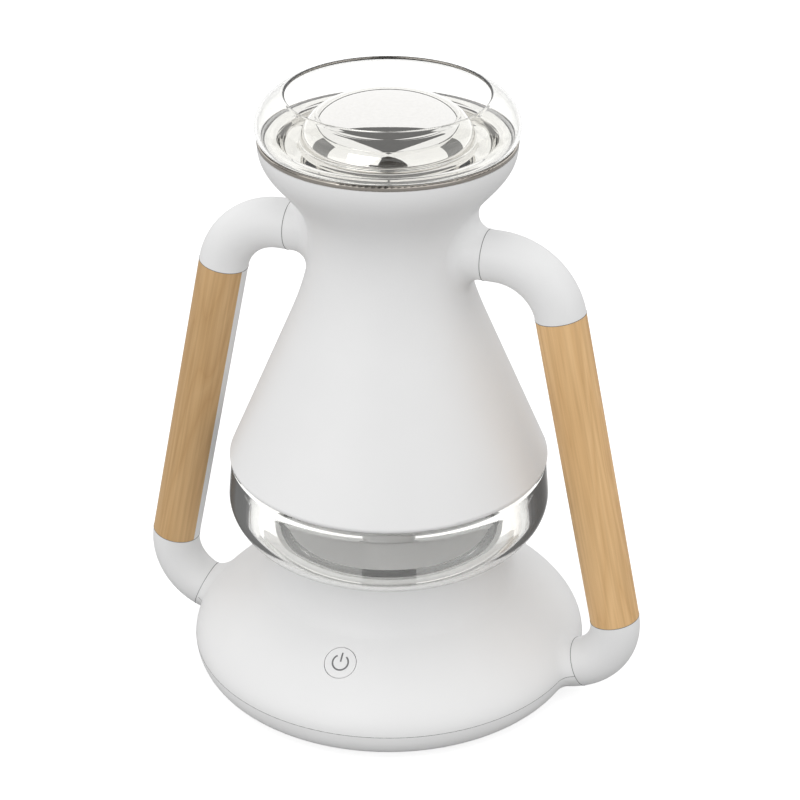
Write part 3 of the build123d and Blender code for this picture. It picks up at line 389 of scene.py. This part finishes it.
CAD_LOOKS = {
    "white_plastic": white,
    "inner_plastic": inner,
    "clear_plastic": bowl_glass,
    "chrome_trim": chrome,
    "soft_rubber": rubber,
    "black_plastic": black,
    "filter_foam": foam,
    "circuit_board": board_green,
    "steel_hardware": steel,
    "heatsink_aluminium": alloy,
    "transducer_ceramic": steel,
}
SPECIAL_LOOKS = {
    "trim_ring": nickel,
    "tank_floor": glossy_white,
    "rubber_feet": dark_rubber,
    # lit and shaded copies of the one beech: the left grip is painted darker, the right grip painted lighter
    "left_wood_grip": wood("beech_left", grip_axis("left")[2], 0.86),
    "right_wood_grip": wood("beech_right", grip_axis("right")[2], 1.08),
}
for part in frame["record"]["subparts"]:
    name, slot = part["node"], part["material_slot"]
    shown = nodes[name]
    shown.data.materials.clear()
    shown.data.materials.append(SPECIAL_LOOKS.get(name) or CAD_LOOKS[slot])


# ---------------------------------------------------------------- clear and bright pieces
def inward(points, thickness):
    """The same run of points moved to its left by a wall's thickness."""
    moved = []
    for i, (r, z) in enumerate(points):
        before = points[max(i - 1, 0)]
        after = points[min(i + 1, len(points) - 1)]
        dr, dz = after[0] - before[0], after[1] - before[1]
        length = math.hypot(dr, dz)
        moved.append((r - thickness * dz / length, z + thickness * dr / length))
    return moved


def round_end(start, end, steps=8):
    """Half a circle of points from one corner of a wall to the other."""
    middle = ((start[0] + end[0]) / 2, (start[1] + end[1]) / 2)
    dr, dz = start[0] - middle[0], start[1] - middle[1]
    points = []
    for i in range(1, steps):
        turn = math.pi * i / steps
        points.append((
            middle[0] + dr * math.cos(turn) - dz * math.sin(turn),
            middle[1] + dr * math.sin(turn) + dz * math.cos(turn),
        ))
    return points


def top_of(name):
    """Highest point of a CAD node, in mm."""
    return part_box(name)[1].z / MM


def foot_of(name):
    """Lowest point of a CAD node, in mm."""
    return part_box(name)[0].z / MM


def radius_of(name):
    """Reach of a round CAD node from the Z axis, in mm."""
    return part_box(name)[1].x / MM


def clear_bowl():
    """The clear bowl: a blown wall that rolls in to an open rim."""
    foot = foot_of("clear_bowl")
    rim = top_of("clear_bowl")
    ring = radius_of("trim_ring") - FIT
    start = (ring - 0.4, foot)
    mouth = (ring - 13.0, rim)
    outer = [start] + bezier(start, (ring + 3.4, foot + 6.5), (ring + 1.4, rim - 6.0), mouth, 40)
    wall = inward(outer, BOWL_WALL)
    wall[-1] = (outer[-1][0] - 0.5, rim - BOWL_WALL)
    outer[-1] = (outer[-1][0], rim - 0.02)
    outline = outer + round_end(outer[-1], wall[-1]) + list(reversed(wall))
    outline = [(r, min(z, rim)) for r, z in outline]
    obj = revolve("bowl_glass", outline)
    finish_piece(obj, bowl_glass, "lid", replaces=["clear_bowl"])
    obj.visible_shadow = False


def mist_dish():
    """Pressed dish: a flat lip under the bowl, a rolled edge and a deep trough."""
    lip = top_of("mist_dish")
    low = foot_of("clear_bowl") - 9.7
    ring = radius_of("trim_ring") - FIT
    spigot = radius_of("mist_tube") + 0.4
    roll, side, trough = (56.4, lip + 0.5), (53.6, lip - 2.4), (45.4, low)
    slope, saddle = (32.0, low + 2.2), (20.0, low + 4.0)
    top = [(ring - 2.2, lip + 0.3), roll]
    top += bezier(roll, (54.9, lip + 0.5), (53.9, lip - 0.6), side, 10)
    top += bezier(side, (53.1, low + 3.2), (50.4, low), trough, 20)
    top += bezier(trough, (39.5, low), (36.5, low + 1.0), slope, 14)
    top += bezier(slope, (27.5, low + 3.4), (24.0, saddle[1]), saddle, 10)
    top += [(spigot, saddle[1])]
    under = inward(top, -DISH_SHEET)
    under[0] = (top[0][0], top[0][1] - DISH_SHEET)
    under[-1] = (spigot + DISH_SHEET, top[-1][1] - DISH_SHEET)
    foot = foot_of("mist_dish")
    outline = top + [(spigot, foot), (spigot + DISH_SHEET, foot)] + list(reversed(under))
    obj = revolve("dish_pressing", outline)
    finish_piece(obj, chrome, "lid", replaces=["mist_dish"])


def mist_dome():
    """Spun dome: a flat crown, a round flank with a turned line, and a band below its edge."""
    crown = (0.0, top_of("mist_dome"))
    crown_run = 30.0
    skirt = foot_of("mist_dome")
    band_r = radius_of("mist_dome")
    edge = (band_r - 0.6, skirt + 4.8)
    groove_r, groove_w, groove_d = 35.2, 0.5, 0.35
    cap = bezier(crown, (crown_run, crown[1]), (edge[0] - 1.4, edge[1] + 11.5), edge, 96)
    outline = []
    for r, z in [crown] + cap:
        depth = groove_d * max(0.0, 1.0 - abs(r - groove_r) / groove_w)
        outline.append((r - depth * 0.7, z - depth * 0.7))
    outline += [(band_r - 0.35, edge[1] - 0.05), (band_r - 0.08, edge[1] - 0.2), (band_r, edge[1] - 0.5)]
    outline += [(band_r, skirt + 0.25), (band_r - 0.15, skirt), (band_r - 1.8, skirt), (band_r - 2.1, edge[1])]
    outline += [(crown_run, crown[1] - 5.4), (0.0, crown[1] - 1.5)]
    obj = revolve("dome_spinning", outline)
    finish_piece(obj, chrome, "lid", replaces=["mist_dome"])


def clear_tank():
    """The clear tank: a rounded bowl with an even wall, its foot ring and its collar."""
    shoulder = foot_of("body_cone")
    under = shoulder - 43.5
    floor = under + 4.3
    foot = foot_of("clear_tank")
    bulge_r = radius_of("clear_tank")
    start = (radius_of("trim_ring") - 3.6, under)
    bulge = (bulge_r, under + 23.6)
    lip = (bulge_r - 1.5, shoulder)
    outer = [start] + bezier(start, (bulge_r - 10.7, under), (bulge_r + 0.8, bulge[1] - 11.5), bulge, 36)
    outer += bezier(bulge, (bulge_r - 0.4, bulge[1] + 6.0), (bulge_r - 1.2, shoulder - 8.0), lip, 14)
    wall = inward(outer, TANK_WALL)
    inner = [point for point in reversed(wall) if floor + 0.2 < point[1] < shoulder - 6]
    collar_r = radius_of("cone_seal") - 1.9
    collar_z = shoulder + 8
    plate_r = radius_of("tank_floor") + 0.1
    ring_r = radius_of("water_basin") + FIT
    ring_inner_r = ring_r - 4.0
    outline = outer + [
        (collar_r, shoulder),
        (collar_r, collar_z),
        (collar_r - TANK_WALL, collar_z),
        (collar_r - TANK_WALL, shoulder - 1.6),
        (wall[-1][0] - 0.3, shoulder - 3.4),
    ]
    outline += inner
    outline += [(inner[-1][0] - 2.5, floor), (plate_r, floor), (plate_r, under), (ring_inner_r, under)]
    outline += [(ring_inner_r, foot), (ring_r, foot), (ring_r, under)]
    obj = revolve("tank_glass", outline)
    finish_piece(obj, tank_glass, "housing", replaces=["clear_tank"])
    obj.visible_shadow = False


clear_bowl()
mist_dish()
mist_dome()
clear_tank()


# ---------------------------------------------------------------- seams
def sharp_chains(name, keep=None):
    """Runs of points along a CAD node's sharp edges, each with whether it closes."""
    bm = bmesh.new()
    bm.from_mesh(nodes[name].data)
    bmesh.ops.remove_doubles(bm, verts=bm.verts, dist=0.02 * MM)
    sharp = [
        edge
        for edge in bm.edges
        if len(edge.link_faces) == 2
        and edge.calc_face_angle() > math.radians(50)
        and (keep is None or keep(edge))
    ]
    left = set(sharp)
    corners = [v for edge in sharp for v in edge.verts]
    ends = [v for v in corners if sum(e in left for e in v.link_edges) == 1]
    chains = []
    for start in ends + corners:
        points = [start.co.copy()]
        corner = start
        onward = [e for e in corner.link_edges if e in left]
        while onward:
            left.discard(onward[0])
            corner = onward[0].other_vert(corner)
            points.append(corner.co.copy())
            onward = [e for e in corner.link_edges if e in left]
        if len(points) > 2:
            closed = corner is start
            chains.append((points[:-1] if closed else points, closed))
    bm.free()
    return chains


def bead(name, chains, radius):
    """Fine cords along runs of points, as one mesh: the shadow in a seam."""
    curve = bpy.data.curves.new(name + "_curve", "CURVE")
    curve.dimensions = "3D"
    curve.bevel_depth = radius
    curve.bevel_resolution = 1
    for points, closed in chains:
        spline = curve.splines.new("POLY")
        spline.points.add(len(points) - 1)
        for target, point in zip(spline.points, points):
            target.co = (*point, 1)
        spline.use_cyclic_u = closed
    source = bpy.data.objects.new(name + "_source", curve)
    mesh = bpy.data.meshes.new_from_object(source)
    mesh.name = name
    bpy.data.objects.remove(source)
    obj = bpy.data.objects.new(name, mesh)
    bpy.context.scene.collection.objects.link(obj)
    return obj


def handle_seams(side):
    """Joint lines at the ends of both elbows."""
    low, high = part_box(side + "_upper_elbow")
    tube_radius = (high.y - low.y) / 2
    chains = []
    for elbow in ("_upper_elbow", "_lower_elbow"):
        for points, closed in sharp_chains(side + elbow):
            centre = sum(points, Vector()) / len(points)
            if closed and max((p - centre).length for p in points) > tube_radius - 0.3 * MM:
                chains.append((points, closed))
    obj = bead(side + "_handle_seams", chains, SEAM_RADIUS * MM)
    finish_piece(obj, shadow_grey, "housing")


def base_seam():
    """The line round the outside where the two base shells meet."""
    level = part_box("base_upper_shell")[0].z

    def outside(edge):
        if any(abs(v.co.z - level) > 0.05 * MM for v in edge.verts):
            return False
        middle = (edge.verts[0].co + edge.verts[1].co) / 2
        return any(face.normal.dot(middle) > 0.25 * middle.length for face in edge.link_faces
                   if abs(face.normal.z) < 0.9)

    obj = bead("base_seam", sharp_chains("base_lower_shell", outside), SEAM_RADIUS * MM)
    sunk = 0.9992
    obj.data.transform(Matrix.Diagonal((sunk, sunk, 1, 1)))
    finish_piece(obj, shadow_grey, "housing")


def stroke(bm, points, surface):
    """A printed line along (x, y) points: surface(x, y, lift) places each corner."""
    rows = []
    for i, (x, y) in enumerate(points):
        before, after = points[max(i - 1, 0)], points[min(i + 1, len(points) - 1)]
        dx, dy = after[0] - before[0], after[1] - before[1]
        half = SYMBOL_STROKE / 2 / math.hypot(dx, dy)
        corners = ((1, 0.0), (1, INK_DEPTH), (-1, INK_DEPTH), (-1, 0.0))
        rows.append([
            bm.verts.new(surface(x - side * dy * half, y + side * dx * half, lift)) for side, lift in corners
        ])
    for a, b in zip(rows, rows[1:]):
        for k in range(4):
            bm.faces.new((a[k], a[(k + 1) % 4], b[(k + 1) % 4], b[k]))
    bm.faces.new(rows[0])
    bm.faces.new(list(reversed(rows[-1])))


def power_symbol():
    """A printed broken ring with a bar, on the button's cap."""
    joint = next(j for j in frame["record"]["behaviour"]["joints"] if j["child"] == "button")
    press = Vector(joint["axis"]).normalized()
    outward = -press
    cap = nodes["power_button"].data
    corners = [v.co.copy() for v in cap.vertices]
    face = max(co.dot(outward) for co in corners)
    top = [co for co in corners if co.dot(outward) > face - 1.2 * MM]
    centre = sum(top, Vector()) / len(top)
    across = Vector((0, 0, 1)).cross(outward).normalized()
    upward = outward.cross(across).normalized()
    tree = BVHTree.FromPolygons(corners, [tuple(p.vertices) for p in cap.polygons])

    def on_cap(x, y, lift):
        start = centre + (across * x + upward * y + outward * 5) * MM
        return tree.ray_cast(start, press)[0] + outward * lift * MM

    bm = bmesh.new()
    gap = math.radians(35)
    turns = [math.pi / 2 + gap + (2 * math.pi - 2 * gap) * i / 40 for i in range(41)]
    stroke(bm, [(SYMBOL_RADIUS * math.cos(t), SYMBOL_RADIUS * math.sin(t)) for t in turns], on_cap)
    stroke(bm, [(0, SYMBOL_RADIUS * (0.1 + 0.3 * i)) for i in range(5)], on_cap)
    obj = new_object("power_symbol", bm, smooth=False)
    finish_piece(obj, ink, "button")


power_symbol()
handle_seams("left")
handle_seams("right")
base_seam()


# ---------------------------------------------------------------- studio
def card(name, corners, tone):
    """A flat card round the object, that only the polished pieces reflect."""
    heading = math.radians(VIEW_HEADING)
    bm = bmesh.new()
    bm.faces.new([
        bm.verts.new((
            across * math.cos(heading) - away * math.sin(heading),
            across * math.sin(heading) + away * math.cos(heading),
            up,
        ))
        for across, away, up in corners
    ])
    obj = new_object(name, bm, smooth=False)
    material, tree, bsdf = shader(name)
    bsdf.inputs["Base Color"].default_value = (*tone, 1)
    bsdf.inputs["Roughness"].default_value = 0.9
    bsdf.inputs["Emission Color"].default_value = (*tone, 1)
    bsdf.inputs["Emission Strength"].default_value = 0.8
    obj.data.materials.append(material)
    obj.visible_diffuse = False
    obj.visible_shadow = False
    obj.visible_camera = False


def reflection_cards():
    """A grey wedge overhead, a dark arch in front and a grey panel on each side."""
    wedge = ((-2.3, 1.5), (2.7, 1.5), (0.07, -2.6), (0.03, -2.6))
    card("grey_wedge", [(across, away, CEILING) for across, away in wedge], CARD_GREY)
    arch = ((-1.8, FLOOR_LEVEL), (-1.7, 1.0), (-1.25, 2.1), (-0.6, 3.1), (0.05, 3.6),
            (0.7, 3.1), (1.35, 2.1), (1.8, 1.0), (1.9, FLOOR_LEVEL))
    card("dark_arch", [(across, FRONT_WALL, up) for across, up in arch], CARD_DARK)
    strip = ((-0.5, -0.95), (-1.8, FRONT_WALL), (1.9, FRONT_WALL), (0.55, -0.95))
    card("dark_front", [(across, away, FLOOR_LEVEL) for across, away in strip], CARD_DARK)
    panel = ((-0.5, FLOOR_LEVEL), (1.4, FLOOR_LEVEL), (1.4, 2.6), (-0.5, 2.6))
    for name, across in (("grey_left", -SIDE_WALL), ("grey_right", SIDE_WALL)):
        card(name, [(across, away, up) for away, up in panel], CARD_GREY)


def front_key():
    """A broad soft box in front, a little to the left and above."""
    data = bpy.data.lights.new("front_key", "AREA")
    data.energy = 4.5
    data.shape = "RECTANGLE"
    data.size = 1.4
    data.size_y = 0.9
    light = bpy.data.objects.new("front_key", data)
    light.location = (-0.35, -1.7, 0.95)
    aim = Vector((0, 0, cad_high.z / 2)) - light.location
    light.rotation_euler = aim.to_track_quat("-Z", "Y").to_euler()
    bpy.context.scene.collection.objects.link(light)


def studio():
    """A pale floor, a white room, the cards that the chrome reflects and one soft light."""
    bm = bmesh.new()
    bmesh.ops.create_grid(bm, x_segments=1, y_segments=1, size=8.0)
    floor = new_object("studio_floor", bm, smooth=False)
    material, tree, bsdf = shader("pale_floor")
    bsdf.inputs["Base Color"].default_value = (0.42, 0.42, 0.42, 1)
    bsdf.inputs["Roughness"].default_value = 0.9
    bsdf.inputs["Specular IOR Level"].default_value = 0.0
    bsdf.inputs["Emission Color"].default_value = (1, 1, 1, 1)
    bsdf.inputs["Emission Strength"].default_value = 0.78
    floor.data.materials.append(material)
    # the floor's own glow is seen directly, and lights only the clear and the polished pieces
    seen_in = bpy.data.collections.new("floor_glow_receivers")
    for name in GLOW_RECEIVERS:
        seen_in.objects.link(bpy.data.objects[name])
    floor.light_linking.receiver_collection = seen_in

    world = bpy.data.worlds.new("studio_room")
    bpy.context.scene.world = world
    world.use_nodes = True
    background = world.node_tree.nodes["Background"]
    background.inputs["Color"].default_value = (1, 1, 1, 1)
    background.inputs["Strength"].default_value = 1.10

    reflection_cards()
    front_key()
    bpy.context.scene.view_settings.view_transform = "Standard"
    bpy.context.scene.view_settings.look = "None"


def camera():
    """Seen from the front, a little from the right and from above."""
    heading = math.radians(VIEW_HEADING)
    tilt = math.radians(VIEW_TILT)
    distance = 1.2265
    sideways = 0.0059
    target = Vector((sideways * math.cos(heading), sideways * math.sin(heading), cad_high.z * 0.4794))
    back = Vector((
        math.sin(heading) * math.cos(tilt),
        -math.cos(heading) * math.cos(tilt),
        math.sin(tilt),
    ))
    data = bpy.data.cameras.new("photo_camera")
    data.lens = 106.7
    data.sensor_width = 36.0
    data.clip_start = 0.01
    data.clip_end = 50
    cam = bpy.data.objects.new("photo_camera", data)
    cam.location = target + back * distance
    cam.rotation_mode = "QUATERNION"
    cam.rotation_quaternion = (-back).to_track_quat("-Z", "Y")
    bpy.context.scene.collection.objects.link(cam)
    bpy.context.scene.camera = cam


studio()
camera()
